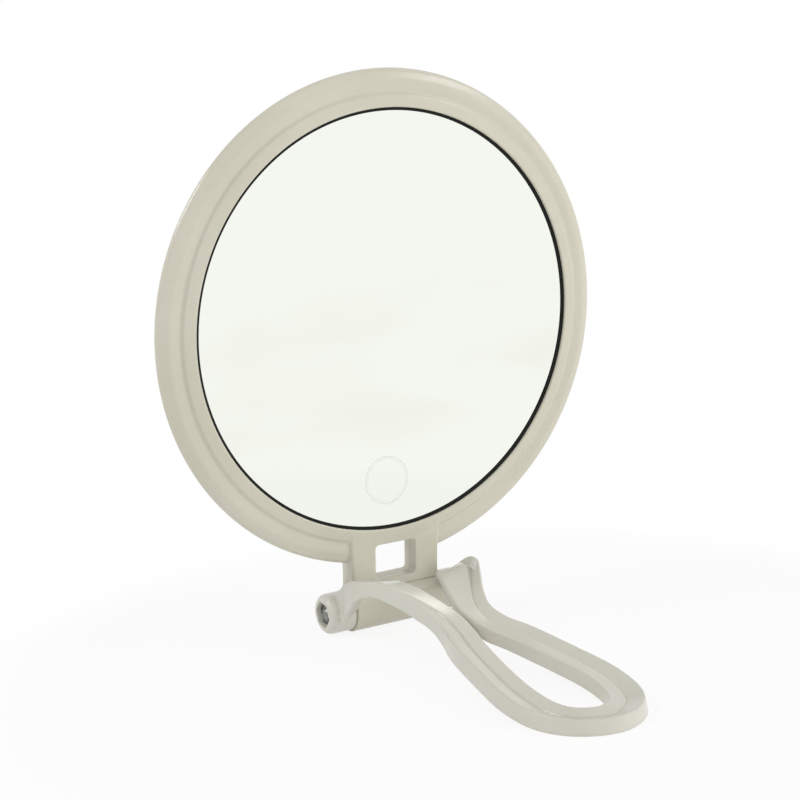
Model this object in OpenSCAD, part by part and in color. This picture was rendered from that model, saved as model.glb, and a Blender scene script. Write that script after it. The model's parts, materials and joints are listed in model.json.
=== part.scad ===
// Two-sided table mirror on a folding loop handle.
// The head holds a magnifying glass in front and a plain glass behind.
// A bolted hinge joins it to the handle, which lies on the table as a stand.
// Millimetres, +Z up, the magnifying side faces -Y.
// The origin is on the table, at the middle of the mirror's footprint.

/* [Mirror head] */
// Diameter of the glass that shows on each side
glass_view_d = 127; // [115:1:140]
// Width of the ring around the glass
ring_w = 11.1; // [9:0.1:13]
// Thickness of the head at the lips that hold the glass
head_t = 7.7; // [7.4:0.1:9]
// Thickness of each lip
lip_t = 0.8; // [0.6:0.1:1]
// How far the ring falls back from the lip to its flat outer band
band_drop = 1.25; // [1:0.05:1.6]
// Radius of the ring's outer corners
edge_r = 1; // [0.6:0.1:1.2]
// How far the ring's outer edge reaches behind the middle of the head
back_edge = 0.9; // [0.7:0.1:1.5]
// Height of the ring's lowest edge above the hinge axis
neck_rise = 13.5; // [13.4:0.1:18]
// Forward lean of the head as it stands
rest_lean = 3.1; // [0:0.1:4]

/* [Glass] */
// Thickness of each glass
glass_t = 1.6; // [1.4:0.1:1.7]
// How far the edge of the glass goes in behind the lip
glass_lap = 1.5; // [1:0.1:2]
// Depth of the hollow in the magnifying glass
dish = 1.9; // [1:0.1:2]
// Thickness of the gasket between the lip and the glass
gasket_t = 0.3; // [0.2:0.1:0.4]
// Width of the gasket that shows inside the lip
gasket_show = 0.8; // [0.4:0.1:1.2]
// Diameter of the clear label film on the magnifying glass
label_d = 15; // [10:0.5:18]

/* [Neck] */
// Width of the neck and of the hinge barrel
neck_w = 31; // [28:0.5:34]
// Width of the window in the neck
window_w = 14; // [10:0.5:16]
// Height of the window in the neck
window_h = 11; // [8:0.5:11.5]
// Height of the bar between the window and the hinge barrel
window_bar = 1.9; // [1.6:0.1:3]
// Radius of the window's corners
window_r = 1.3; // [0.8:0.1:2]

/* [Hinge] */
// Diameter of the hinge barrel under the neck
barrel_d = 13.7; // [13.2:0.1:14]
// Diameter of the handle's two knuckles
knuckle_d = 12.5; // [12:0.1:13.1]
// Length of each knuckle
knuckle_l = 8; // [7.6:0.1:9]
// Rounding of the outer end of each knuckle
knuckle_round = 2.4; // [1:0.1:2.5]
// Gap between the barrel and each knuckle
side_gap = 0.3; // [0.25:0.05:0.4]
// Thickness of the knuckle wall that the bolt clamps
clamp_wall = 3.7; // [3.4:0.1:4]

/* [Hinge hardware] */
// Diameter of the bolt's shank
bolt_d = 3.9; // [3.5:0.1:4.1]
// Radial running clearance between the bolt and its sleeve
bolt_fit = 0.06; // [0.03:0.01:0.09]
// How far inside the knuckle's end the bolt's end stops
bolt_end_in = 0.3; // [0.1:0.1:0.8]
// Diameter of the bolt's head
bolt_head_d = 7; // [6:0.1:7.4]
// Height of the bolt's head
bolt_head_h = 2.2; // [1.8:0.1:2.4]
// Distance across the flats of the nut
nut_flats = 7; // [6.5:0.1:7.4]
// Thickness of the nut
nut_t = 3.2; // [2.6:0.1:3.4]
// Turn of the nut about the bolt
nut_turn = 20; // [0:1:60]
// Diameter of the flat washer under the bolt's head
washer_d = 8; // [7.4:0.1:8.2]
// Thickness of the flat washer
washer_t = 0.8; // [0.5:0.1:0.9]
// Thickness of the spring washer
spring_t = 1; // [0.8:0.1:1]
// Outside diameter of the steel sleeve in the barrel
sleeve_d = 6; // [5.4:0.1:6.2]
// Outside diameter of the friction washers
friction_d = 9.4; // [8.6:0.1:10]

/* [Handle] */
// Reach of the handle in front of the hinge
handle_reach = 114.6; // [105:0.1:125]
// Width of the loop at its widest
loop_w = 38.2; // [36:0.1:44]
// Width of the bar that the handle is moulded from
bar_w = 10.4; // [9.6:0.1:11]
// Height of the bar at its outer rim
bar_h = 5.2; // [4.8:0.1:6]
// How far the inner flange lies below the rim
flange_drop = 0.9; // [0.5:0.1:1.2]
// Rounding of the bar's edges
bar_round = 1; // [0.6:0.1:1.2]
// Height of the arch that the two arms make over the ring's rim
arch_h = 16.7; // [15:0.1:18]
// How far the arm's outer wall stands in from the knuckle's end
arm_set_in = 2; // [1.5:0.1:2.5]
// Width of the arm where it leaves the knuckle
root_w = 6.6; // [6:0.1:7]

/* [Hidden] */

ivory = "#dcd8c7";
silver = "#c9d0d2";
black = "#1b1b1b";
steel = "#9a9c9e";
nylon = "#e9e7df";

// Cuts run past the faces that they open by this much
overrun = 1;
// Loose fit of a part that is dropped into its pocket
seat_fit = 0.1;
// Facets of a full circle
smooth = 160;
// Facets of the large ring
ring_smooth = 240;
// Facets of a hidden bore
bore_smooth = 64;

// Head, in its own frame: the hinge axis is X, up is Z, the magnifying side faces -Y
view_r = glass_view_d / 2;
ring_r = view_r + ring_w;
// Height of the ring's centre above the hinge axis
ring_rise = ring_r + neck_rise;
half_t = head_t / 2;
lip_in = half_t - lip_t;
glass_r = view_r + glass_lap;
pocket_r = glass_r + 2 * seat_fit;
glass_out = lip_in - gasket_t;
glass_in = glass_out - glass_t;
crease_share = 0.4;
crease_r = view_r + ring_w * crease_share;
band_z = half_t - band_drop;
lip_round_share = 0.6;
lip_round = lip_t * lip_round_share;
edge_steps = 8;
// Tongue and groove that keep the two halves in line
tongue_r = crease_r + edge_r;
tongue_w = 1.2;
tongue_h = 1;
tongue_stop = 2;
dish_steps = 14;
spacer_w = 2 * glass_lap;
// Place of the label film, below the middle of the glass
film_side_share = 0.03;
film_down_share = 0.765;

// Hinge
barrel_r = barrel_d / 2;
knuckle_r = knuckle_d / 2;
barrel_half = neck_w / 2;
knuckle_in = barrel_half + side_gap;
knuckle_out = knuckle_in + knuckle_l;
seat_x = knuckle_in + clamp_wall;
bolt_r = bolt_d / 2;
sleeve_bore_r = bolt_r + bolt_fit;
knuckle_bore_r = bolt_r + seat_fit;
friction_pocket = 2 * side_gap;
washer_run = 0.05;
head_x = seat_x + washer_t + spring_t;
// Length of the bolt under its head
bolt_l = head_x + knuckle_out - bolt_end_in;
head_bore_r = washer_d / 2 + 2 * seat_fit;
socket_flats = bolt_head_d * 0.38;
socket_depth = bolt_head_h / 2;
end_bevel = bolt_r * 0.2;
split_angle = 12;
// Gap between the neck and the handle's arms, with the head upright and folded under
upright_room = 2;
folded_room = 0.6;

// The middle of the footprint lies under the middle of the model's length
hinge_y = (handle_reach - barrel_r) / 2;
hinge_z = barrel_r;

// Handle: stations along one arm, from the knuckle to the end of the loop
root_x = knuckle_out - arm_set_in - root_w / 2;
// Forward place of each station, as a share of the reach
forward_shares = [
    0, 0.041, 0.073, 0.109, 0.145, 0.182, 0.245, 0.309, 0.373, 0.445, 0.527, 0.673, 0.8, 0.9, 0.968, 1
];
// Sideways place of each station, as shares of the knuckle's place and of the loop's spread
knuckle_shares = [1, 1, 0.94, 0.865, 0.79, 0.69, 0.525, 0.376, 0.1, 0, 0, 0, 0, 0, 0, 0];
spread_shares = [0, 0, 0, 0, 0, 0, 0, 0, 0.26, 0.464, 0.657, 0.88, 1, 0.915, 0.59, 0];
// Width of the bar, height of its underside and height of its rim at each station
width_shares = [
    0.635, 0.635, 0.9, 1.17, 1.3, 1.31, 1.16, 1, 0.905, 0.935, 0.98, 0.955, 1.02, 1.05, 1.04, 1.04
];
under_shares = [
    0.09, 0.275, 0.5, 0.755, 0.94, 1, 0.865, 0.685, 0.52, 0.385, 0.31, 0.185, 0.09, 0.018, 0, 0
];
rim_shares = [2, 2.06, 1.85, 1.4, 0.9, 0.74, 0.83, 0.92, 0.98, 1, 1, 1, 1, 1, 1, 1];
rim_w_share = 0.42;
steps_per_span = 4;
end_w = bar_w * width_shares[len(width_shares) - 1];
mid_reach = handle_reach - end_w / 2;
mid_spread = (loop_w - end_w) / 2;

arm = [
    for (i = [0 : len(forward_shares) - 1]) [
        root_x * knuckle_shares[i] + mid_spread * spread_shares[i],
        -mid_reach * forward_shares[i],
        arch_h * under_shares[i],
        bar_w * width_shares[i],
        bar_h * rim_shares[i]
    ]
];
last = len(arm) - 1;
other_arm = [for (i = [last - 1 : -1 : 0]) [-arm[i][0], arm[i][1], arm[i][2], arm[i][3], arm[i][4]]];
stations = concat(arm, other_arm);

// Smooth curve through the stations: the value and the slope at step t of span i
function near(i) = stations[min(max(i, 0), len(stations) - 1)];
function along(i, t) =
    let (a = near(i - 1), b = near(i), c = near(i + 1), d = near(i + 2))
    (2 * b + (c - a) * t + (2 * a - 5 * b + 4 * c - d) * t * t + (3 * b - a - 3 * c + d) * t * t * t) / 2;
function slope(i, t) =
    let (a = near(i - 1), b = near(i), c = near(i + 1), d = near(i + 2))
    (c - a) / 2 + (2 * a - 5 * b + 4 * c - d) * t + (3 * b - a - 3 * c + d) * t * t * 3 / 2;

// Outline of the bar across its run: the rim stands outside, the flange inside
function bar_outline(w, rim_h) =
    let (
        r = bar_round, k = bar_round * 0.3, out = w / 2, flange_h = rim_h - flange_drop,
        step = out - w * rim_w_share
    ) [
        [out - r, 0], [out - k, k], [out, r],
        [out, rim_h - r], [out - k, rim_h - k], [out - r, rim_h],
        [step + flange_drop / 2, rim_h], [step - flange_drop / 2, flange_h],
        [r - out, flange_h], [k - out, flange_h - k], [-out, flange_h - r],
        [-out, r], [k - out, k], [r - out, 0]
    ];
function ring_at(i, t) =
    let (
        p = along(i, t), s = slope(i, t), l = norm([s[0], s[1]]),
        side = [-s[1] / l, s[0] / l], under = max(p[2], 0)
    ) [for (q = bar_outline(p[3], p[4])) [p[0] + side[0] * q[0], p[1] + side[1] * q[0], under + q[1]]];

spans = len(stations) - 1;
rings = [
    for (i = [0 : spans - 1])
        for (k = [0 : steps_per_span - (i == spans - 1 ? 0 : 1)])
            ring_at(i, k / steps_per_span)
];
ring_points = len(rings[0]);

module at_hinge() {
    translate([0, hinge_y, hinge_z])
        children();
}

module head_pose() {
    at_hinge()
        rotate([rest_lean, 0, 0])
            children();
}

// The face frame has its origin at the ring's centre, Z towards the magnifying side and Y up
module face_frame() {
    head_pose()
        translate([0, 0, ring_rise])
            rotate([90, 0, 0])
                children();
}

module along_x(from, to, r, facets = smooth) {
    translate([from, 0, 0])
        rotate([0, 90, 0])
            cylinder(r = r, h = to - from, $fn = facets);
}

// Outer corner of one half, from the parting plane up to the height at which its band starts
function edge_arc(top) =
    let (mid = top - edge_r, from = mid < 0 ? asin(-mid / edge_r) : 0)
    concat(
        mid > 0 ? [[ring_r, 0]] : [],
        [
            for (k = [0 : edge_steps])
                let (a = from + (90 - from) * k / edge_steps)
                [ring_r - edge_r + edge_r * cos(a), mid + edge_r * sin(a)]
        ]
    );

// Half of the ring, from the parting plane to the lip
module half_ring(top) {
    rotate_extrude($fn = ring_smooth)
        polygon(concat(
            [[pocket_r, 0]],
            edge_arc(top),
            [
                [crease_r, band_z], [view_r + lip_round, half_t], [view_r, half_t - lip_round],
                [view_r, lip_in], [pocket_r, lip_in]
            ]
        ));
}

module window_outline() {
    low = barrel_r + window_bar - ring_rise;
    translate([-window_w / 2 + window_r, low + window_r])
        rounded_opening(window_w - 2 * window_r, window_h - 2 * window_r, window_r);
}

// A rounded rectangle from four discs and two bars, so that its corners stay true arcs
module rounded_opening(w, h, r) {
    translate([-r, 0])
        square([w + 2 * r, h]);
    translate([0, -r])
        square([w, h + 2 * r]);
    for (x = [0, w], y = [0, h])
        translate([x, y])
            circle(r = r, $fn = bore_smooth);
}

// Neck plate in the face frame, from the ring down to the hinge axis
module neck_half() {
    linear_extrude(half_t)
        difference() {
            translate([-neck_w / 2, -ring_rise])
                square([neck_w, ring_rise - view_r + ring_w]);
            circle(r = view_r, $fn = ring_smooth);
            window_outline();
        }
}

module glass_pocket() {
    translate([0, 0, -overrun])
        cylinder(r = pocket_r, h = lip_in + overrun, $fn = ring_smooth);
    cylinder(r = view_r, h = half_t + overrun, $fn = ring_smooth);
}

// The tongue stops short of the neck
module tongue(grow) {
    difference() {
        translate([0, 0, -grow])
            rotate_extrude($fn = ring_smooth)
                translate([tongue_r - tongue_w / 2 - grow, -tongue_h])
                    square([tongue_w + 2 * grow, tongue_h + grow + tongue_h / 2]);
        translate([-neck_w / 2 - tongue_stop + grow, -ring_r - overrun, -tongue_h - overrun])
            cube([neck_w + 2 * tongue_stop - 2 * grow, ring_r, 2 * tongue_h + 2 * overrun]);
    }
}

module front_frame() {
    color(ivory)
        difference() {
            union() {
                face_frame() {
                    difference() {
                        union() {
                            half_ring(band_z);
                            neck_half();
                        }
                        glass_pocket();
                        window_cut();
                    }
                    tongue(0);
                }
            }
            head_pose()
                along_x(-neck_w, neck_w, barrel_r + seat_fit);
        }
}

module window_cut() {
    translate([0, 0, -half_t - overrun])
        linear_extrude(2 * half_t + 2 * overrun)
            window_outline();
}

module rear_frame() {
    color(ivory)
        difference() {
            union() {
                face_frame()
                    mirror([0, 0, 1])
                        difference() {
                            union() {
                                half_ring(back_edge);
                                neck_half();
                            }
                            glass_pocket();
                            window_cut();
                        }
                head_pose()
                    along_x(-barrel_half, barrel_half, barrel_r);
            }
            face_frame()
                tongue(seat_fit);
            head_pose() {
                along_x(-neck_w, neck_w, sleeve_d / 2 + seat_fit / 2, bore_smooth);
                for (s = [-1, 1])
                    friction_space(s);
            }
        }
}

module friction_space(s) {
    inner = barrel_half - friction_pocket;
    from = s > 0 ? inner : -barrel_half - overrun;
    along_x(from, from + friction_pocket + overrun, friction_d / 2 + seat_fit, bore_smooth);
}

// The surface of the hollow glass, measured back from its rim at radius r
function hollow(r) = dish * (1 - pow(r / glass_r, 2));

module magnifying_mirror() {
    rim_at = [for (k = [dish_steps : -1 : 0]) glass_r * k / dish_steps];
    color(silver)
        face_frame()
            rotate_extrude($fn = ring_smooth)
                polygon(concat(
                    [for (r = rim_at) [r, glass_out - hollow(r)]],
                    [for (k = [0 : dish_steps]) let (r = glass_r * k / dish_steps) [r, glass_in - hollow(r)]]
                ));
}

module plain_mirror() {
    color(silver)
        face_frame()
            translate([0, 0, -glass_out])
                cylinder(r = glass_r, h = glass_t, $fn = ring_smooth);
}

module gasket() {
    rotate_extrude($fn = ring_smooth)
        translate([view_r - gasket_show, glass_out])
            square([glass_lap + gasket_show, gasket_t]);
}

module front_gasket() {
    color(black)
        face_frame()
            gasket();
}

module rear_gasket() {
    color(black)
        face_frame()
            mirror([0, 0, 1])
                gasket();
}

module spacer_ring() {
    inner = glass_r - spacer_w;
    color(black)
        face_frame()
            rotate_extrude($fn = ring_smooth)
                polygon([
                    [inner, -glass_in], [glass_r, -glass_in],
                    [glass_r, glass_in], [inner, glass_in - hollow(inner)]
                ]);
}

// The film lies on the hollow glass, so it tips with the slope there
module label_film() {
    film_t = gasket_t / 2;
    film_x = -view_r * film_side_share;
    film_y = -view_r * film_down_share;
    lean = atan(2 * dish * film_y / pow(glass_r, 2));
    color("#f2f4f0")
        face_frame()
            translate([film_x, film_y, glass_out - hollow(norm([film_x, film_y])) + seat_fit / 2])
                rotate([lean, 0, 0])
                    cylinder(d = label_d, h = film_t, $fn = bore_smooth);
}

module hinge_sleeve() {
    color(steel)
        head_pose()
            difference() {
                along_x(-barrel_half, barrel_half, sleeve_d / 2, bore_smooth);
                along_x(-neck_w, neck_w, sleeve_bore_r, bore_smooth);
            }
}

module friction_washers() {
    inner = barrel_half - friction_pocket;
    outer = knuckle_in - washer_run;
    color(nylon)
        head_pose()
            for (s = [-1, 1])
                difference() {
                    along_x(s > 0 ? inner : -outer, s > 0 ? outer : -inner, friction_d / 2, bore_smooth);
                    along_x(-neck_w, neck_w, sleeve_d / 2 + seat_fit, bore_smooth);
                }
}

// One knuckle on the right, with a rounded outer end
module knuckle() {
    arc_steps = 8;
    translate([knuckle_in, 0, 0])
        rotate([0, 90, 0])
            rotate_extrude($fn = smooth)
                polygon(concat(
                    [[0, 0], [knuckle_r, 0]],
                    [
                        for (k = [0 : arc_steps])
                            let (a = 90 * k / arc_steps)
                            [
                                knuckle_r - knuckle_round + knuckle_round * cos(a),
                                knuckle_l - knuckle_round + knuckle_round * sin(a)
                            ]
                    ],
                    [[0, knuckle_l]]
                ));
}

module swept_bar() {
    m = ring_points;
    points = [for (r = rings) each r];
    sides = [
        for (i = [0 : len(rings) - 2])
            for (j = [0 : m - 1])
                let (a = i * m + j, b = i * m + (j + 1) % m)
                each [[a, b + m, b], [a, a + m, b + m]]
    ];
    first_cap = [for (j = [0 : m - 1]) j];
    last_cap = [for (j = [m - 1 : -1 : 0]) (len(rings) - 1) * m + j];
    polyhedron(points = points, faces = concat(sides, [first_cap, last_cap]), convexity = 6);
}

module loop_handle() {
    color(ivory)
        difference() {
            union() {
                translate([0, hinge_y, 0])
                    swept_bar();
                at_hinge() {
                    knuckle();
                    mirror([1, 0, 0])
                        knuckle();
                }
            }
            at_hinge() {
                // room for the barrel, and for the neck upright and folded under
                along_x(-knuckle_in, knuckle_in, barrel_r + side_gap + seat_fit);
                translate([-knuckle_in, -half_t - upright_room, 0])
                    cube([2 * knuckle_in, half_t + upright_room + knuckle_r, arch_h + bar_h]);
                translate([-knuckle_in, -barrel_r - half_t, -knuckle_r - overrun])
                    cube([2 * knuckle_in, barrel_r + half_t, knuckle_r + overrun + half_t + folded_room]);
                along_x(-knuckle_out - overrun, knuckle_out + overrun, knuckle_bore_r, bore_smooth);
                along_x(seat_x, knuckle_out + overrun, head_bore_r, bore_smooth);
                translate([-seat_x, 0, 0])
                    nut_shape(knuckle_l, seat_fit);
            }
        }
}

// Hexagon that runs towards -X from its inner face
module nut_shape(t, grow) {
    corner_r = (nut_flats / 2 + grow) / cos(30);
    rotate([-nut_turn, 0, 0])
        translate([-t, 0, 0])
            rotate([0, 90, 0])
                cylinder(r = corner_r, h = t, $fn = 6);
}

module hinge_bolt() {
    end = head_x - bolt_l;
    color(steel)
        at_hinge()
            difference() {
                union() {
                    along_x(end + end_bevel, head_x, bolt_r, bore_smooth);
                    translate([end, 0, 0])
                        rotate([0, 90, 0])
                            cylinder(r1 = bolt_r - end_bevel, r2 = bolt_r, h = end_bevel, $fn = bore_smooth);
                    along_x(head_x, head_x + bolt_head_h, bolt_head_d / 2, bore_smooth);
                }
                translate([head_x + bolt_head_h - socket_depth, 0, 0])
                    rotate([0, 90, 0])
                        cylinder(r = socket_flats / 2 / cos(30), h = socket_depth + overrun, $fn = 6);
            }
}

module hinge_nut() {
    color(steel)
        at_hinge()
            difference() {
                translate([-seat_x, 0, 0])
                    nut_shape(nut_t, 0);
                along_x(-seat_x - nut_t - overrun, -seat_x + overrun, bolt_r + seat_fit / 2, bore_smooth);
            }
}

module flat_washer() {
    color(steel)
        at_hinge()
            difference() {
                along_x(seat_x, seat_x + washer_t, washer_d / 2, bore_smooth);
                along_x(seat_x - overrun, head_x, bolt_r + seat_fit, bore_smooth);
            }
}

module spring_washer() {
    inner = bolt_r + seat_fit;
    outer = bolt_head_d / 2;
    color(steel)
        at_hinge()
            translate([seat_x + washer_t, 0, 0])
                rotate([0, 90, 0])
                    rotate_extrude(angle = 360 - split_angle, $fn = bore_smooth)
                        translate([inner, 0])
                            square([outer - inner, spring_t]);
}

front_frame();
rear_frame();
magnifying_mirror();
plain_mirror();
front_gasket();
rear_gasket();
spacer_ring();
label_film();
hinge_sleeve();
friction_washers();
loop_handle();
hinge_bolt();
hinge_nut();
flat_washer();
spring_washer();
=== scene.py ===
import bpy
import json
import math
import numpy as np
from mathutils import Matrix, Vector


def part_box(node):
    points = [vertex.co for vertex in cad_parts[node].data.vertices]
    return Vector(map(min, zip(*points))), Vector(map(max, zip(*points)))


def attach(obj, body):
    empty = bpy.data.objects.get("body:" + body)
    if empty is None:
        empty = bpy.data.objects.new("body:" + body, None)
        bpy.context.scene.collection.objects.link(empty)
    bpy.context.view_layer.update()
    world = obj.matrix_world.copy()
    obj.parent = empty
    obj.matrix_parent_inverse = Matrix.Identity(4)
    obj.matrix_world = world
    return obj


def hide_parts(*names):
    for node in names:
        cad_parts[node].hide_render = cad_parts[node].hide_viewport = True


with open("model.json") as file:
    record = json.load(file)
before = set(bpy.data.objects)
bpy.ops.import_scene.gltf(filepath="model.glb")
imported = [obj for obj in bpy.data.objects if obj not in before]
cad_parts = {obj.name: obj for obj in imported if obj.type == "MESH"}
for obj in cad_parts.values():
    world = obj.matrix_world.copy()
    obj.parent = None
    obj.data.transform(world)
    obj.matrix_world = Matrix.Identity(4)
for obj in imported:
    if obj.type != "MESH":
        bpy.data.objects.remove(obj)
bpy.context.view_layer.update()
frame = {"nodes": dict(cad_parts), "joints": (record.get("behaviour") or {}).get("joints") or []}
nodes = frame["nodes"]
hinge = Vector(frame["joints"][0]["pos_m"])
print("frame loaded:", len(nodes), "nodes, hinge at", tuple(round(v, 5) for v in hinge))


def newObject(name, data):
    made = bpy.data.objects.new(name, data)
    bpy.context.scene.collection.objects.link(made)
    return made


cameraPlace = {
    "azimuth": -30.51,
    "elevation": 10.59,
    "roll": -2.51,
    "focal": 1706.93,  # pixels
    "pictureWidth": 800,
    "sensor": 36,  # millimetres
    "clip": (0.01, 20),
    "offset": (-2.5, -68.96, -532.48),  # millimetres right, up and back, from the lens to the floor under the hinge
}


def makeCamera(place):
    a, e, roll = (math.radians(place[k]) for k in ("azimuth", "elevation", "roll"))
    back = Vector((math.sin(a) * math.cos(e), -math.cos(a) * math.cos(e), math.sin(e)))
    right = Vector((math.cos(a), math.sin(a), 0))
    up = back.cross(right)
    c, s = math.cos(roll), math.sin(roll)
    turnedRight, turnedUp = right * c + up * s, up * c - right * s
    offset = Vector(place["offset"]) / 1000
    spot = -(turnedRight * offset.x + turnedUp * offset.y + back * offset.z)
    data = bpy.data.cameras.new("camera")
    data.sensor_width = place["sensor"]
    data.lens = place["focal"] * place["sensor"] / place["pictureWidth"]
    data.clip_start, data.clip_end = place["clip"]
    camera = newObject("camera", data)
    turn = Matrix((turnedRight, turnedUp, back)).transposed().to_4x4()
    camera.matrix_world = Matrix.Translation(spot + Vector((0, hinge.y, 0))) @ turn
    bpy.context.scene.camera = camera


makeCamera(cameraPlace)
print("camera set")


class Wire:
    # one output socket of a node tree; the operators add Math nodes
    def __init__(self, tree, socket=None):
        self.tree = tree
        self.socket = socket

    def node(self, kind, settings=None, sockets=None, out=0):
        n = self.tree.nodes.new(kind)
        for key, value in (settings or {}).items():
            setattr(n, key, value)
        for key, value in (sockets or {}).items():
            if isinstance(value, Wire):
                self.tree.links.new(value.socket, n.inputs[key])
            else:
                n.inputs[key].default_value = value
        return Wire(self.tree, n.outputs[out])

    def maths(self, operation, a, b=0.0, clamp=False):
        return self.node("ShaderNodeMath", {"operation": operation, "use_clamp": clamp}, {0: a, 1: b})

    def __add__(self, other): return self.maths("ADD", self, other)
    def __radd__(self, other): return self.maths("ADD", other, self)
    def __sub__(self, other): return self.maths("SUBTRACT", self, other)
    def __rsub__(self, other): return self.maths("SUBTRACT", other, self)
    def __mul__(self, other): return self.maths("MULTIPLY", self, other)
    def __rmul__(self, other): return self.maths("MULTIPLY", other, self)
    def __truediv__(self, other): return self.maths("DIVIDE", self, other)
    def __rtruediv__(self, other): return self.maths("DIVIDE", other, self)
    def clamp(self): return self.maths("ADD", self, 0.0, True)

    def between(self, low, high):  # 0 at low, 1 at high, smooth
        return self.node("ShaderNodeMapRange", {"interpolation_type": "SMOOTHSTEP"},
                         {0: self, 1: low, 2: high, 3: 0.0, 4: 1.0})

    def placed(self, shift=(0, 0, 0), turn=(0, 0, 0), scale=(1, 1, 1)):
        return self.node("ShaderNodeMapping", None, {0: self, 1: shift, 2: turn, 3: scale})

    def noise(self, at, scale, detail=3.0, rough=0.5, twist=0.0):
        return self.node("ShaderNodeTexNoise", None, {
            "Vector": at, "Scale": scale, "Detail": detail, "Roughness": rough, "Distortion": twist})

    def blend(self, share, a, b):  # colours
        return self.node("ShaderNodeMix", {"data_type": "RGBA"}, {0: share, 6: a, 7: b}, out=2)


def newMaterial(name):
    m = bpy.data.materials.new(name)
    m.use_nodes = True
    tree = m.node_tree
    tree.nodes.clear()
    shader = tree.nodes.new("ShaderNodeBsdfPrincipled")
    output = tree.nodes.new("ShaderNodeOutputMaterial")
    tree.links.new(shader.outputs[0], output.inputs[0])
    wire = Wire(tree)
    wire.place = wire.node("ShaderNodeTexCoord", out=3)  # object coordinates
    return m, wire, shader


def feed(wire, shader, **sockets):
    for name, value in sockets.items():
        socket = shader.inputs[name.replace("_", " ")]
        if isinstance(value, Wire):
            wire.tree.links.new(value.socket, socket)
        else:
            socket.default_value = value


def rgb(r, g, b):  # a display colour, 0 to 255, made linear
    return tuple(((c / 255 + 0.055) / 1.055) ** 2.4 if c > 10 else c / 255 / 12.92 for c in (r, g, b)) + (1.0,)


ivoryLook = {
    "colour": rgb(206, 202, 185),
    "pale": rgb(210, 207, 191),
    "warm": rgb(203, 197, 178),
    "roughness": 0.17,
}
handleLook = {
    "colour": rgb(211, 209, 197),
    "pale": rgb(215, 214, 204),
    "warm": rgb(208, 203, 189),
    "roughness": 0.15,
}
# noise scales per metre, and how much mottle and scuffs take off the gloss
grain = {"cloud": 26, "mottle": 420, "fine": 2600, "scuff": 120, "scuffStretch": 14, "warmShare": 0.35,
         "dulling": 0.06, "bump": 0.03, "bumpDepth": 0.0004}
# mirror: the band of the warm cloud, a painted reflection, in metres above the floor, and the gloss
mirrorLook = {
    "tone": rgb(244, 247, 239), "warm": rgb(241, 242, 233), "cloud": 17,
    "reflectionBandLow": (0.045, 0.07), "reflectionBandHigh": (0.085, 0.12),
    "roughness": 0.01, "smear": 0.02, "smearScale": 60,
}
rubberLook = {
    "tone": rgb(6, 7, 6), "pale": rgb(18, 20, 17), "pores": 1800,
    "roughness": 0.5, "specular": 0.25, "bump": 0.2, "bumpDepth": 0.0002,
}
steelLook = {
    # the bolt's tint, darker than the washer's, is partly the steel's own tone and partly painted shade for the nut
    # and bolt end in their recesses
    "bolt": rgb(142, 144, 142), "washer": rgb(170, 172, 170), "blotch": rgb(112, 110, 102), "blotchScale": 700,
    "turning": 320, "turningStretch": 22, "roughness": 0.22, "bump": 0.25, "bumpDepth": 0.0001,
}
nylonLook = {"tone": rgb(214, 211, 200), "pale": rgb(232, 230, 222), "cloud": 500, "roughness": 0.45}
# film: two faint outlines, as shares of its radius
filmLook = {
    "tone": rgb(236, 239, 230), "pale": rgb(246, 248, 241), "roughness": 0.25,
    "rim": (0.93, 0.99), "rimShare": 0.16,
    "line": 0.89, "lineSharpness": 2600, "lineShare": 0.1, "haze": 900, "hazeShare": 0.01,
}


def ivoryPlastic(name, look, shift):
    m, w, shader = newMaterial(name)
    at = w.place.placed(shift=shift)
    cloud = w.noise(at, grain["cloud"], 2)
    mottle = w.noise(at, grain["mottle"], 4, 0.6)
    fine = w.noise(at, grain["fine"], 2)
    base = w.blend(cloud.between(0.35, 0.7), look["colour"], look["pale"])
    base = w.blend(mottle.between(0.45, 0.8) * grain["warmShare"], base, look["warm"])
    stretched = at.placed(turn=(0.4, 0.9, 0.3), scale=(1, 1, grain["scuffStretch"]))
    scuff = w.noise(stretched, grain["scuff"], 3).between(0.5, 0.75)
    gloss = look["roughness"] + mottle * grain["dulling"] + scuff * grain["dulling"]
    bump = w.node("ShaderNodeBump", None, {
        "Strength": grain["bump"], "Distance": grain["bumpDepth"], "Height": fine * 0.35 + mottle * 0.65})
    feed(w, shader, Base_Color=base, Roughness=gloss, Normal=bump, IOR=1.5)
    return m


def mirrorCoat(look):
    m, w, shader = newMaterial("mirror glass")
    # a faint warm cloud low on the glass, painted in as a reflection; wiped marks that only show as a change of
    # gloss
    cloud = w.noise(w.place.placed(turn=(0, 0.25, 0), scale=(1, 1, 3)), look["cloud"], 2, 0.5)
    smear = w.noise(w.place.placed(turn=(0, 0.6, 0), scale=(1, 1, 5)), look["smearScale"], 4, 0.6, 0.4)
    height = w.node("ShaderNodeSeparateXYZ", None, {0: w.place}, out=2)
    # painted reflection: the glass's tone turns warm in a band of heights above the floor
    warm = cloud.between(0.4, 0.75) * (1 - height.between(*look["reflectionBandHigh"])) * height.between(*look["reflectionBandLow"])
    tone = w.blend(warm, look["tone"], look["warm"])
    gloss = look["roughness"] + smear.between(0.6, 0.9) * look["smear"]
    feed(w, shader, Base_Color=tone, Metallic=1.0, Roughness=gloss)
    return m


def blackRubber(look):
    m, w, shader = newMaterial("black gasket")
    pores = w.noise(w.place, look["pores"], 3)
    tone = w.blend(pores, look["tone"], look["pale"])
    bump = w.node("ShaderNodeBump", None, {
        "Strength": look["bump"], "Distance": look["bumpDepth"], "Height": pores})
    gloss = look["roughness"] + pores * 0.2
    feed(w, shader, Base_Color=tone, Roughness=gloss, Normal=bump, Specular_IOR_Level=look["specular"])
    return m


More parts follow.
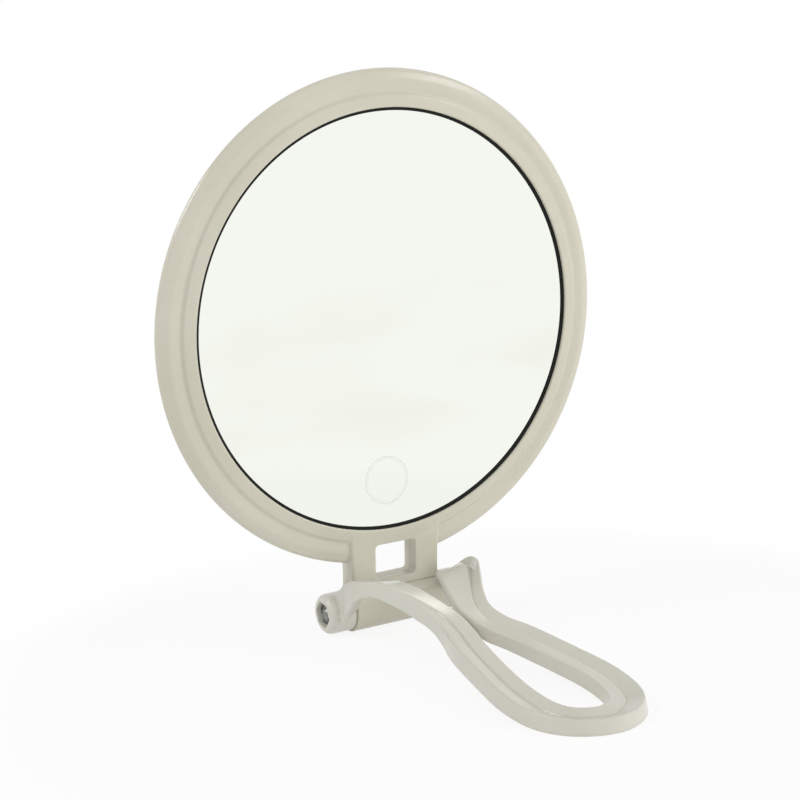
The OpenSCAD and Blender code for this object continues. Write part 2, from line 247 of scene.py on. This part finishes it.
def zincSteel(name, look, tint):
    m, w, shader = newMaterial(name)
    turned = w.noise(w.place.placed(scale=(look["turningStretch"], 1, 1)), look["turning"], 4, 0.6)
    blotch = w.noise(w.place, look["blotchScale"], 3)
    tone = w.blend(blotch.between(0.3, 0.75), tint, look["blotch"])
    bump = w.node("ShaderNodeBump", None, {
        "Strength": look["bump"], "Distance": look["bumpDepth"], "Height": turned})
    gloss = look["roughness"] + turned * 0.22
    feed(w, shader, Base_Color=tone, Metallic=1.0, Roughness=gloss, Normal=bump)
    return m


def whiteNylon(look):
    m, w, shader = newMaterial("white nylon")
    cloud = w.noise(w.place, look["cloud"], 3)
    tone = w.blend(cloud, look["tone"], look["pale"])
    feed(w, shader, Base_Color=tone, Roughness=look["roughness"] + cloud * 0.1)
    return m


def clearFilm(look):
    m, w, shader = newMaterial("clear film")
    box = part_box("label_film")
    centre = (box[0] + box[1]) / 2
    reach = (box[1].x - box[0].x) / 2
    local = w.place.placed(shift=(-centre.x, 0, -centre.z), scale=(1, 0, 1))
    far = w.node("ShaderNodeVectorMath", {"operation": "LENGTH"}, {0: local}, out=1) / reach
    rim = far.between(*look["rim"])
    ringLine = 1 - ((far - look["line"]) * (far - look["line"]) * look["lineSharpness"]).clamp()
    haze = w.noise(w.place, look["haze"], 3)
    tone = w.blend(haze, look["tone"], look["pale"])
    share = haze * look["hazeShare"] + rim * look["rimShare"] + ringLine * look["lineShare"]
    feed(w, shader, Base_Color=tone, Roughness=look["roughness"] + haze * 0.15, Alpha=share.clamp())
    return m


ivoryHead = ivoryPlastic("ivory plastic head", ivoryLook, (0, 0, 0))
ivoryHandle = ivoryPlastic("ivory plastic handle", handleLook, (3.1, 1.7, 0.4))
mirrorMaterial = mirrorCoat(mirrorLook)
rubber = blackRubber(rubberLook)
# darker tint: painted shade for the recessed nut and bolt end, on top of the steel's own tone
boltSteelWithPaintedShade = zincSteel("bolt steel", steelLook, steelLook["bolt"])
washerSteel = zincSteel("washer steel", steelLook, steelLook["washer"])
nylon = whiteNylon(nylonLook)
film = clearFilm(filmLook)
print("materials made")


for name, material in {
    "front_frame": ivoryHead, "rear_frame": ivoryHead, "loop_handle": ivoryHandle,
    "magnifying_mirror": mirrorMaterial, "plain_mirror": mirrorMaterial,
    "front_gasket": rubber, "rear_gasket": rubber, "spacer_ring": rubber, "label_film": film,
    "hinge_sleeve": washerSteel, "friction_washers": nylon, "hinge_bolt": boltSteelWithPaintedShade, "hinge_nut": boltSteelWithPaintedShade,
    "flat_washer": washerSteel, "spring_washer": washerSteel,
}.items():
    nodes[name].data.materials.clear()
    nodes[name].data.materials.append(material)
print("cad pieces dressed")


# The moulded pieces, in millimetres: each is a rule, negative inside the plastic, that gets a skin on a grid

def roundMax(a, b, r):  # both, with a rounded outer edge
    return np.minimum(np.maximum(a, b), -r) + np.hypot(np.maximum(a + r, 0), np.maximum(b + r, 0))


def roundMin(a, b, r):  # either, with a fillet between
    return -roundMax(-a, -b, r)


def steps(*spans):  # grid lines: (from, to, step), (to, step), ...
    lines = [spans[0][0]]
    for span in spans:
        to, step = span[-2], span[-1]
        count = max(1, round((to - lines[-1]) / step))
        lines.extend(np.linspace(lines[-1], to, count + 1)[1:])
    return np.array(lines)


def gridSkin(value, a, b, c, wrap=False):
    # one point in each cell that the surface passes, four-sided faces between them
    inside = value < 0
    if wrap:
        value = np.concatenate([value, value[:1]])
        inside = np.concatenate([inside, inside[:1]])
        a = np.append(a, 2 * a[-1] - a[-2])
    cells = tuple(n - 1 for n in value.shape)
    count = np.zeros(cells, int)
    for i in (0, 1):
        for j in (0, 1):
            for k in (0, 1):
                count += inside[i:cells[0] + i, j:cells[1] + j, k:cells[2] + k]
    mixed = (count > 0) & (count < 8)
    at = np.argwhere(mixed)
    number = np.full(cells, -1)
    number[mixed] = np.arange(len(at))
    total, hits = np.zeros((len(at), 3)), np.zeros(len(at))
    for axis in range(3):
        others = [n for n in range(3) if n != axis]
        for p in (0, 1):
            for q in (0, 1):
                low = at.copy()
                low[:, others[0]] += p
                low[:, others[1]] += q
                high = low.copy()
                high[:, axis] += 1
                v0, v1 = value[tuple(low.T)], value[tuple(high.T)]
                cross = (v0 < 0) != (v1 < 0)
                share = np.where(cross, v0 / np.where(cross, v0 - v1, 1), 0)
                spot = low.astype(float)
                spot[:, axis] += share
                total += spot * cross[:, None]
                hits += cross
    spot = total / hits[:, None]
    places = np.stack([
        np.interp(spot[:, n], np.arange(len(line)), line) for n, line in enumerate((a, b, c))
    ], 1)
    quads = []
    for axis in range(3):
        others = [n for n in range(3) if n != axis]
        low = [slice(None)] * 3
        high = [slice(None)] * 3
        low[axis], high[axis] = slice(0, -1), slice(1, None)
        change = inside[tuple(low)] != inside[tuple(high)]
        edge = np.argwhere(change)
        keep = np.ones(len(edge), bool)
        for n in others:
            if wrap and n == 0:
                keep &= edge[:, 0] < cells[0]
            else:
                keep &= (edge[:, n] > 0) & (edge[:, n] < cells[n])
        edge = edge[keep]
        solidFirst = inside[tuple(edge.T)]
        around = []
        for p, q in ((-1, -1), (0, -1), (0, 0), (-1, 0)):
            cell = edge.copy()
            cell[:, others[0]] += p
            cell[:, others[1]] += q
            if wrap:
                cell[:, 0] %= cells[0]
            around.append(number[tuple(cell.T)])
        quad = np.stack(around, 1)
        turn = solidFirst if axis != 1 else ~solidFirst
        quad[~turn] = quad[~turn][:, ::-1]
        quads.append(quad)
    return places, np.concatenate(quads)


def settle(rule, points, reach, rounds=3, small=0.01, leastSlope=0.05):
    # moves the points onto the rule's own surface
    for _ in range(rounds):
        value = rule(*points.T)
        slope = np.stack([
            rule(*(points + small * axis).T) - rule(*(points - small * axis).T) for axis in np.eye(3)
        ], 1) / (2 * small)
        step = -slope * (value / np.maximum((slope ** 2).sum(1), leastSlope))[:, None]
        length = np.linalg.norm(step, axis=1)
        step *= np.minimum(1, reach / np.maximum(length, 1e-9))[:, None]
        points = points + step
    return points


def joinRings(count, around):
    # four-sided faces between rings of points, and one face at each end
    i, j = np.meshgrid(np.arange(count - 1), np.arange(around), indexing="ij")
    k = (j + 1) % around
    quads = np.stack([i * around + j, i * around + k, (i + 1) * around + k, (i + 1) * around + j], -1)
    ends = [list(range(around))[::-1], list(range((count - 1) * around, count * around))]
    return quads.reshape(-1, 4).tolist() + ends


def meshPiece(name, points, faces, material, body, slot, *replaced):
    mesh = bpy.data.meshes.new(name)
    mesh.vertices.add(len(points))
    mesh.vertices.foreach_set("co", (np.asarray(points) / 1000).astype(np.float32).ravel())
    mesh.loops.add(faces.size)
    mesh.loops.foreach_set("vertex_index", faces.ravel().astype(np.int32))
    mesh.polygons.add(len(faces))
    mesh.polygons.foreach_set("loop_start", np.arange(0, faces.size, faces.shape[1], dtype=np.int32))
    mesh.update(calc_edges=True)
    mesh.shade_smooth()
    mesh.materials.append(material)
    piece = newObject(name, mesh)
    if replaced:
        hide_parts(*replaced)
    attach(piece, body)


headShape = {
    "glassRadius": 63.5, "ringRadius": 74.7, "rise": 88.1, "lean": 3.1,
    "lipUnder": 3.05, "lipRound": 0.45, "pocketRadius": 65.2, "edgeRound": 1.3, "shoulderRound": 0.12,
    # the front's section: distance from the middle, height above the plane between the halves
    "section": (
        (63.0, 3.85), (64.1, 3.85), (65.0, 3.7), (66.0, 3.49), (66.9, 3.28), (67.25, 3.08), (67.75, 2.6),
        (68.2, 2.46), (70.6, 2.62), (71.2, 2.6), (71.8, 2.44), (72.5, 2.14), (73.4, 1.72), (76.0, 0.6)),
    "sharedPoints": 8,  # of the section, that the back has too
    "backEdge": 0.9, "backDrop": 0.3,
    "neckHalf": 15.5, "neckTop": -60, "neckWaist": 0.3, "waistReach": 8, "neckHeight": 3.45, "neckRound": 0.6,
    "neckFillet": 0.6,
    "windowWidth": 14.0, "windowHeight": 11.0, "windowBar": 1.9, "windowRound": 1.3, "windowEdge": 0.5,
    "barrelRadius": 6.85, "barrelFillet": 1.2, "barrelRound": 0.3, "barrelGap": 0.05,
    "washerRadius": 4.8, "washerFace": 14.9, "boltBore": 3.0, "gap": 0.02,
}


def headToWorld(uvn, s):  # from the face of the mirror (right, up, towards the viewer) to the room
    lean = math.radians(s["lean"])
    x, y, z = uvn[:, 0], -uvn[:, 2], uvn[:, 1] + s["rise"]
    return np.stack([
        x, y * math.cos(lean) - z * math.sin(lean) + hinge.y * 1000,
        y * math.sin(lean) + z * math.cos(lean) + hinge.z * 1000
    ], 1)


def headHeights(s, front, step=0.02, reach=30):
    # the section's heights at even steps, with its corners rounded
    section = s["section"]
    if not front:
        edge = (s["ringRadius"] - s["edgeRound"], s["backEdge"])
        section = section[:s["sharedPoints"]] + (edge, (section[-1][0], s["backEdge"] - s["backDrop"]))
    section = np.array(section)
    fine = np.arange(section[0, 0], section[-1, 0], step)
    spread = np.exp(-(np.arange(-reach, reach + 1) * step / s["shoulderRound"]) ** 2 / 2)
    padded = np.pad(np.interp(fine, *section.T), reach, "edge")
    return fine, np.convolve(padded, spread / spread.sum(), "valid")


def headRule(s, front):
    fine, heights = headHeights(s, front)

    def rule(u, v, n):
        m = n if front else -n
        r = np.hypot(u, v)
        ring = roundMax(m - np.interp(r, fine, heights), r - s["ringRadius"], s["edgeRound"])
        down = v + s["rise"]  # height above the hinge axis
        mid = (s["rise"] - s["ringRadius"] + s["barrelRadius"]) / 2
        half = s["neckHalf"] - s["neckWaist"] * np.clip(1 - ((down - mid) / s["waistReach"]) ** 2, 0, 1)
        neck = roundMax(np.abs(u) - half, m - s["neckHeight"], s["neckRound"])
        neck = np.maximum(neck, v - s["neckTop"])
        neck = np.maximum(neck, -down)
        solid = roundMin(ring, neck, s["neckFillet"])
        # the window
        low = s["barrelRadius"] + s["windowBar"]
        cx = np.abs(u) - s["windowWidth"] / 2
        cy = np.abs(down - low - s["windowHeight"] / 2) - s["windowHeight"] / 2
        window = roundMax(cx, cy, s["windowRound"])
        solid = roundMax(solid, -window, s["windowEdge"])
        # the opening for the glass and the pocket behind its lip
        bore = r - s["glassRadius"]
        solid = roundMax(solid, -bore, s["lipRound"])
        pocket = np.maximum(r - s["pocketRadius"], m - s["lipUnder"])
        solid = np.maximum(solid, -pocket)
        solid = np.maximum(solid, s["gap"] / 2 - m)
        around = np.hypot(down, n)
        barrel = around - s["barrelRadius"]
        if front:
            return np.maximum(solid, s["barrelGap"] - barrel)
        barrel = roundMax(barrel, np.abs(u) - s["neckHalf"], s["barrelRound"])
        solid = roundMin(solid, barrel, s["barrelFillet"])
        # outside the barrel itself the fillet stays behind the front half
        wellInside = -9.0
        solid = np.maximum(solid, np.where(barrel < s["gap"], wellInside, s["gap"] / 2 - m))
        recess = np.maximum(around - s["washerRadius"], s["washerFace"] - np.abs(u))
        solid = np.maximum(solid, -recess)
        return np.maximum(solid, s["boltBore"] - around)

    return rule


# grid lines: (from, to, step), then (to, step); degrees around from the neck, millimetres outward and forward
shellGrid = {
    "turn": ((-180, -16.5, 1.2), (16.5, 0.24), (180 - 1.2, 1.2)),
    "radius": ((63.2, 64.6, 0.13), (66.7, 0.3), (68.7, 0.1), (71.2, 0.5), (75.0, 0.17), (96.6, 0.32)),
    "front": ((-0.3, 0.3, 0.1), (2.2, 0.38), (4.1, 0.16)),
    "rear": ((-7.2, -4.1, 0.42), (-2.2, 0.2), (-1.3, 0.2), (-0.3, 0.2), (0.3, 0.1), (7.2, 0.42)),
    "settle": 0.12,
}


def makeShell(name, front, node):
    rule = headRule(headShape, front)
    turn, radius = steps(*shellGrid["turn"]), steps(*shellGrid["radius"])
    height = steps(*shellGrid["front" if front else "rear"])
    t, r, n = np.meshgrid(np.radians(turn), radius, height, indexing="ij")
    value = rule(r * np.sin(t), -r * np.cos(t), n)
    places, faces = gridSkin(value, turn, radius, height, wrap=True)
    t = np.radians(places[:, 0])
    flat = np.stack([places[:, 1] * np.sin(t), -places[:, 1] * np.cos(t), places[:, 2]], 1)
    flat = settle(rule, flat, shellGrid["settle"])
    spots = headToWorld(flat, headShape)
    meshPiece(name, spots, faces[:, ::-1], ivoryHead, "mirror_head", "ivory_plastic", node)
    print(name, len(faces), "faces")


makeShell("front_shell", True, "front_frame")
makeShell("rear_shell", False, "rear_frame")


def smoothMesh(name, points, faces, edgeAngle, material):
    mesh = bpy.data.meshes.new(name)
    mesh.from_pydata((points / 1000).tolist(), [], faces)
    mesh.shade_smooth()
    mesh.set_sharp_from_angle(angle=math.radians(edgeAngle))
    mesh.materials.append(material)
    return mesh


glassShape = {"radius": 65.0, "face": 2.75, "thickness": 1.6, "dish": 1.9, "rings": 36, "facets": 180,
              "pole": 0.012, "edgeAngle": 40}


def makeGlass(s):
    # the hollow mirror: rings of points from the middle to the edge in front, and back behind
    out = np.linspace(s["pole"], 1, s["rings"])
    share = np.concatenate([out, out[::-1]])
    level = s["face"] - s["dish"] * (1 - share ** 2) - s["thickness"] * (np.arange(len(share)) >= s["rings"])
    turn = np.linspace(0, 2 * math.pi, s["facets"], endpoint=False)
    radius = share[:, None] * s["radius"]
    level = np.repeat(level[:, None], s["facets"], 1)
    rings = np.stack([radius * np.cos(turn), radius * np.sin(turn), level], -1)
    faces = [face[::-1] for face in joinRings(*rings.shape[:2])]
    points = headToWorld(rings.reshape(-1, 3), headShape)
    piece = newObject("hollow_glass", smoothMesh("hollow_glass", points, faces, s["edgeAngle"], mirrorMaterial))
    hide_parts("magnifying_mirror")
    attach(piece, "mirror_head")
    print("glass", len(faces), "faces")


makeGlass(glassShape)


handleShape = {
    "reach": 115.6, "loopWidth": 38.2, "barWidth": 10.4, "barHeight": 5.2, "archHeight": 16.7, "rootX": 18.5,
    "draft": 0.6, "crestRound": 0.45, "innerRound": 0.6, "footRound": 0.35,
    "forward": (0, 0.041, 0.073, 0.109, 0.145, 0.182, 0.245, 0.309, 0.373, 0.445, 0.527, 0.673, 0.8, 0.9, 0.968, 1),
    "knuckle": (1, 1, 0.94, 0.865, 0.79, 0.69, 0.525, 0.376, 0.1, 0, 0, 0, 0, 0, 0, 0),
    "spread": (0, 0, 0, 0, 0, 0, 0, 0, 0.26, 0.464, 0.657, 0.88, 1, 0.915, 0.59, 0),
    "outward": (0.635, 0.635, 0.9, 1.17, 1.3, 1.31, 1.16, 1, 0.905, 0.935, 0.98, 0.955, 1.02, 1.05, 1.04, 1.04),
    "inward": (0.635, 0.635, 0.9, 1.17, 1.3, 1.31, 1.16, 1, 0.905, 0.935, 0.98, 0.98, 1.0, 1.0, 0.97, 0.97),
    "under": (0.09, 0.275, 0.5, 0.755, 0.94, 1, 0.865, 0.685, 0.52, 0.385, 0.31, 0.185, 0.09, 0.018, 0, 0),
    "crest": (2, 2.04, 1.85, 1.45, 1, 0.88, 0.98, 1.04, 1.06, 1.07, 1.05, 1.02, 0.95, 0.87, 0.82, 0.8),
    "flange": (1.75, 1.8, 1.5, 1.08, 0.77, 0.62, 0.67, 0.76, 0.82, 0.86, 0.86, 0.84, 0.77, 0.69, 0.66, 0.66),
    # millimetres: where the groove beside the rim lies, its depth and width, how far the flange falls inward
    "crease": (1.2, 1.2, 2.4, 3.6, 4.2, 3.8, 2.6, 1.4, 0.5, 0, -0.2, -0.2, -0.2, -0.2, -0.2, -0.2),
    "groove": (1.2, 1.2, 1.5, 1.8, 1.9, 1.5, 0.95, 0.6, 0.5, 0.45, 0.45, 0.45, 0.45, 0.45, 0.45, 0.45),
    "bank": (1.5, 1.5, 1.8, 2.4, 2.6, 2.0, 1.0, 0.5, 0.35, 0.3, 0.3, 0.3, 0.3, 0.3, 0.3, 0.3),
    "fall": (2, 2, 3, 3.6, 2.6, 1.4, 0.5, 0.15, 0, 0, 0, -0.1, -0.35, -0.6, -0.7, -0.7),
    # how near the middle the bar may come, clear of the neck: (distance along y from the hinge, limit)
    "inner": ((-22.0, 0), (-13.4, 8.6), (-11.0, 15.8)),
    "perSpan": 24, "edgeAngle": 38,
}

knuckleShape = {
    "in": 15.65, "out": 24.3, "radius": 6.2, "round": 2.2, "boltBore": 2.05, "headBore": 4.2, "seat": 19.5,
    "nutHalf": 3.6, "nutTurn": 20, "cutEdge": 0.25, "innerEdge": 0.12,
    # the grid: where each knuckle's begins, its length and half height, its steps
    "starts": (-24.4, 15.2), "length": 9.2, "half": 6.9, "stepAcross": 0.2, "stepAround": 0.22, "settle": 0.1,
}


def handlePath(s):
    # x, y, underside, half width outward and inward, then the other columns of the table, along both arms
    endWidth = s["barWidth"] * s["outward"][-1]
    reach, spread = s["reach"] - endWidth / 2, (s["loopWidth"] - endWidth) / 2
    width, height = s["barWidth"] / 2, s["barHeight"]
    columns = [np.array(s[k]) for k in (
        "forward", "knuckle", "spread", "under", "outward", "inward", "crest", "flange",
        "crease", "groove", "bank", "fall")]
    f, k, o, h, w, v, c, g = columns[:8]
    arm = np.stack([s["rootX"] * k + spread * o, -reach * f, s["archHeight"] * h, width * w, width * v,
                    height * c, height * g] + columns[8:], 1).tolist()
    other = [[-p[0]] + p[1:] for p in arm[-2::-1]]
    p = np.array(arm + other)
    p = np.concatenate([p[:1], p, p[-1:]])
    out = []
    for i in range(1, len(p) - 2):
        a, b, c, d = p[i - 1:i + 3]
        for t in np.arange(s["perSpan"]) / s["perSpan"]:
            out.append((2 * b + (c - a) * t + (2 * a - 5 * b + 4 * c - d) * t ** 2
                        + (3 * b - a - 3 * c + d) * t ** 3) / 2)
    out.append(p[-1])
    return np.array(out)


def corner(x, y, dx, dy, count=4):
    # a rounded corner of a section, from (x, y) to (x + dx, y + dy); it leaves along y and arrives along x
    t = np.linspace(0, math.pi / 2, count)
    return [(x + dx * (1 - math.cos(k)), y + dy * math.sin(k)) for k in t]


def barSection(s, out, inn, crest, flange, crease, groove, bank, fall):
    # (side, height) points around the bar, outward side positive
    draft, c, f, e = s["draft"], s["crestRound"], s["footRound"], s["innerRound"]
    low, top = flange - groove, flange - fall
    points = [(out - f, 0), (out - f * 0.3, f * 0.3), (out, f)]
    points += [(out - draft * k, f + (crest - c - f) * k) for k in (0.33, 0.67)]
    points += corner(out - draft, crest - c, -c, c)
    side = out - draft - c
    points += [(side + (crease - side) * k, crest + (low - crest) * k) for k in (0.06, 0.5, 0.94, 1)]
    points += [(crease - bank * k, low + groove * k) for k in (0.15, 0.85)]
    start, end = crease - bank - 0.15, -(inn - e)
    points += [(start + (end - start) * k, flange + (top - flange) * k) for k in (0, 0.08, 0.5, 0.92)]
    points += [(end - e * math.sin(k), top - e + e * math.cos(k)) for k in np.linspace(0, math.pi / 2, 5)]
    return points + [(-inn, (top - e + f) / 2), (-inn, f), (-(inn - f * 0.3), f * 0.3), (-(inn - f), 0)]


def sweepBar(s):
    path = handlePath(s)
    run = np.gradient(path[:, :2], axis=0)
    run /= np.linalg.norm(run, axis=1)[:, None]
    rings = []
    for (x, y, under, *shape), (rx, ry) in zip(path, run):
        section = np.array(barSection(s, *shape))
        side, height = section.T
        rings.append(np.stack([x - side * ry, y + side * rx, max(under, 0) + height], 1))
    rings = np.array(rings)
    limit = np.interp(rings[..., 1], *np.array(s["inner"]).T)
    side = np.sign(path[:, 0])[:, None]
    rings[..., 0] = np.where(rings[..., 0] * side < limit, limit * side, rings[..., 0])
    return rings


def knuckleRule(s):
    def rule(x, y, z):
        away = np.hypot(y, z)
        middle, half = (s["in"] + s["out"]) / 2, (s["out"] - s["in"]) / 2
        solid = roundMax(away - s["radius"], np.abs(np.abs(x) - middle) - half, s["innerEdge"])
        solid = np.maximum(solid, roundMax(away - s["radius"], np.abs(x) - s["out"], s["round"]))
        solid = np.maximum(solid, s["boltBore"] - away)
        solid = roundMax(solid, -np.maximum(away - s["headBore"], s["seat"] - x), s["cutEdge"])
        a = math.radians(s["nutTurn"])
        hy, hz = y * math.cos(a) - z * math.sin(a), y * math.sin(a) + z * math.cos(a)
        slants = np.maximum(np.abs(hy * 0.5 + hz * 0.866), np.abs(hy * 0.5 - hz * 0.866))
        hexagon = np.maximum(np.abs(hy), slants)
        return roundMax(solid, -np.maximum(hexagon - s["nutHalf"], s["seat"] + x), s["cutEdge"])

    return rule


def makeHandle(s, k):
    rings = sweepBar(s)
    faces = joinRings(*rings.shape[:2])
    points = rings.reshape(-1, 3) + (0, hinge.y * 1000, 0)
    rule = knuckleRule(k)
    for start in k["starts"]:
        xs = steps((start, start + k["length"], k["stepAcross"]))
        ys = steps((-k["half"], k["half"], k["stepAround"]))
        x, y, z = np.meshgrid(xs, ys, ys, indexing="ij")
        places, skin = gridSkin(rule(x, y, z), xs, ys, ys)
        places = settle(rule, places, k["settle"]) + (0, hinge.y * 1000, hinge.z * 1000)
        faces += (skin + len(points)).tolist()
        points = np.concatenate([points, places])
    mesh = smoothMesh("loop_handle_moulding", points, faces, s["edgeAngle"], ivoryHandle)
    piece = newObject("loop_handle_moulding", mesh)
    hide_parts("loop_handle")
    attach(piece, "handle")
    print("handle", len(faces), "faces")


makeHandle(handleShape, knuckleShape)
print("plastic pieces made")


# What follows a circle or a spiral is swept by geometry nodes, in millimetres
gasketShape = {"radius": 63.55, "width": 1.9, "thickness": 0.3, "round": 0.12, "height": 2.9, "facets": 288}
threadShape = {"radius": 1.86, "turns": 5.0, "length": 3.5, "width": 0.34, "thickness": 0.34, "round": 0.08,
               "from": -23.4, "facets": 28}


def sweepTree(name, sizes, facets, material):
    tree = bpy.data.node_groups.new(name, "GeometryNodeTree")
    tree.interface.new_socket("Geometry", in_out="OUTPUT", socket_type="NodeSocketGeometry")
    keys = {}
    for label in sizes:
        keys[label] = tree.interface.new_socket(label, in_out="INPUT", socket_type="NodeSocketFloat").identifier
    given = tree.nodes.new("NodeGroupInput")
    size = {label: Wire(tree, given.outputs[label]) for label in sizes}
    w = Wire(tree)
    if "turns" in sizes:
        path = w.node("GeometryNodeCurveSpiral", None, {
            "Resolution": facets, "Rotations": size["turns"], "Start Radius": size["radius"],
            "End Radius": size["radius"], "Height": size["length"]})
    else:
        path = w.node("GeometryNodeCurvePrimitiveCircle", {"mode": "RADIUS"}, {
            "Resolution": facets, "Radius": size["radius"]})
    box = w.node("GeometryNodeCurvePrimitiveQuadrilateral", {"mode": "RECTANGLE"}, {
        "Width": size["width"], "Height": size["thickness"]})
    profile = w.node("GeometryNodeFilletCurve", {"mode": "POLY"}, {
        "Curve": box, "Count": 3, "Radius": size["round"]})
    swept = w.node("GeometryNodeCurveToMesh", None, {
        "Curve": path, "Profile Curve": profile, "Fill Caps": True})
    real = w.node("GeometryNodeRealizeInstances", None, {"Geometry": swept})
    painted = w.node("GeometryNodeSetMaterial", None, {"Geometry": real, "Material": material})
    tree.links.new(painted.socket, tree.nodes.new("NodeGroupOutput").inputs[0])
    return tree, keys


def sweptPiece(name, sizes, facets, material, place, body, slot, *replaced, edgeAngle=50):
    tree, keys = sweepTree(name, sizes, facets, material)
    piece = newObject(name, bpy.data.meshes.new(name))
    modifier = piece.modifiers.new(name, "NODES")
    modifier.node_group = tree
    for label, value in sizes.items():
        modifier[keys[label]] = float(value)
    mesh = bpy.data.meshes.new_from_object(piece.evaluated_get(bpy.context.evaluated_depsgraph_get()))
    piece.modifiers.clear()
    piece.data = mesh
    spots = np.empty(len(mesh.vertices) * 3)
    mesh.vertices.foreach_get("co", spots)
    mesh.vertices.foreach_set("co", (place(spots.reshape(-1, 3)) / 1000).ravel())
    mesh.shade_smooth()
    mesh.set_sharp_from_angle(angle=math.radians(edgeAngle))
    mesh.update()
    if replaced:
        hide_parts(*replaced)
    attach(piece, body)
    print(name, len(mesh.polygons), "faces")


gasketSizes = {k: gasketShape[k] for k in ("radius", "width", "thickness", "round")}
for name, side, node in (("front_gasket_ring", 1, "front_gasket"), ("rear_gasket_ring", -1, "rear_gasket")):
    flip, lift = (side, 1, side), (0, 0, side * gasketShape["height"])
    sweptPiece(name, gasketSizes, gasketShape["facets"], rubber,
               lambda p, flip=flip, lift=lift: headToWorld(p * flip + lift, headShape),
               "mirror_head", "black_gasket", node)
threadSizes = {k: threadShape[k] for k in ("radius", "turns", "length", "width", "thickness", "round")}
sweptPiece("bolt_thread", threadSizes, threadShape["facets"], boltSteelWithPaintedShade,
           lambda p: p[:, (2, 0, 1)] + (threadShape["from"], hinge.y * 1000, hinge.z * 1000),
           "handle", "zinc_steel")
print("swept pieces made")


# metres; between clearFrom and clearTo, away from the middle, the floor goes over into plain white
floorLook = {"radius": 6.0, "facets": 64, "drop": 0.00005, "colour": rgb(250, 250, 250),
             "clearFrom": 0.12, "clearTo": 0.3, "glow": 0.88}
ambient = 0.46


def seenDirectly(w):  # camera, mirror and see-through rays
    ray = w.node("ShaderNodeLightPath")
    outs = ray.socket.node.outputs
    wires = [Wire(w.tree, outs[k]) for k in ("Is Camera Ray", "Is Glossy Ray", "Is Transmission Ray")]
    return (wires[0] + wires[1] + wires[2]).clamp()


def makeFloor(look):
    mesh = bpy.data.meshes.new("floor")
    r, facets = look["radius"], look["facets"]
    turns = np.linspace(0, 2 * math.pi, facets, endpoint=False)
    points = [(r * math.cos(t), r * math.sin(t), -look["drop"]) for t in turns]
    mesh.from_pydata(points, [], [list(range(facets))])
    floor = newObject("floor", mesh)
    m = bpy.data.materials.new("pale floor")
    m.use_nodes = True
    tree = m.node_tree
    tree.nodes.clear()
    w = Wire(tree)
    at = w.node("ShaderNodeTexCoord", out=3)
    far = w.node("ShaderNodeVectorMath", {"operation": "LENGTH"}, {0: at}, out=1)
    share = (look["glow"] + far.between(look["clearFrom"], look["clearTo"])).clamp() * seenDirectly(w)
    paint = w.node("ShaderNodeBsdfDiffuse", None, {"Color": look["colour"]})
    glow = w.node("ShaderNodeEmission", None, {"Color": (1, 1, 1, 1), "Strength": 1.0})
    mixed = w.node("ShaderNodeMixShader", None, {0: share, 1: paint, 2: glow})
    output = tree.nodes.new("ShaderNodeOutputMaterial")
    tree.links.new(mixed.socket, output.inputs[0])
    mesh.materials.append(m)


def makeWorld(strength):
    world = bpy.data.worlds.new("studio")
    world.use_nodes = True
    bpy.context.scene.world = world
    tree = world.node_tree
    tree.nodes.clear()
    w = Wire(tree)
    dim = w.node("ShaderNodeBackground", None, {0: (1, 1, 1, 1), 1: strength})
    white = w.node("ShaderNodeBackground", None, {0: (1, 1, 1, 1), 1: 1.0})
    mixed = w.node("ShaderNodeMixShader", None, {0: seenDirectly(w), 1: dim, 2: white})
    output = tree.nodes.new("ShaderNodeOutputWorld")
    tree.links.new(mixed.socket, output.inputs[0])


lampTarget = Vector((0, 0.02, 0.07))
lampLook = {
    # name: place, width, height, watts, colour, seen in glossy surfaces
    "window": ((0.85, -0.47, 0.76), 0.6, 0.2, 1.4, (1.0, 0.99, 0.97), True),
    "right": ((0.85, -0.75, 0.35), 0.6, 0.6, 4.6, (1.0, 0.99, 0.97), False),
    "left": ((-1.1, 0.25, 0.4), 0.6, 0.6, 0.4, (0.98, 1.0, 1.0), False),
    "front": ((-0.45, -1.15, 0.15), 0.6, 0.6, 3.0, (1.0, 1.0, 1.0), False),
    "streak": ((-0.8, 0.17, 0.75), 0.35, 0.35, 3.0, (1.0, 1.0, 1.0), True),
}


def makeLamp(name, place, width, height, watts, colour, glossy):
    data = bpy.data.lights.new(name, "AREA")
    data.shape = "RECTANGLE"
    data.size, data.size_y, data.energy, data.color = width, height, watts, colour
    lamp = newObject(name, data)
    lamp.visible_glossy = glossy
    lamp.location = place
    lamp.rotation_euler = (lampTarget - Vector(place)).to_track_quat("-Z", "Y").to_euler()


makeFloor(floorLook)
makeWorld(ambient)
for name, look in lampLook.items():
    makeLamp(name, *look)
bpy.context.scene.view_settings.view_transform = "Standard"
print("floor and lamps set")
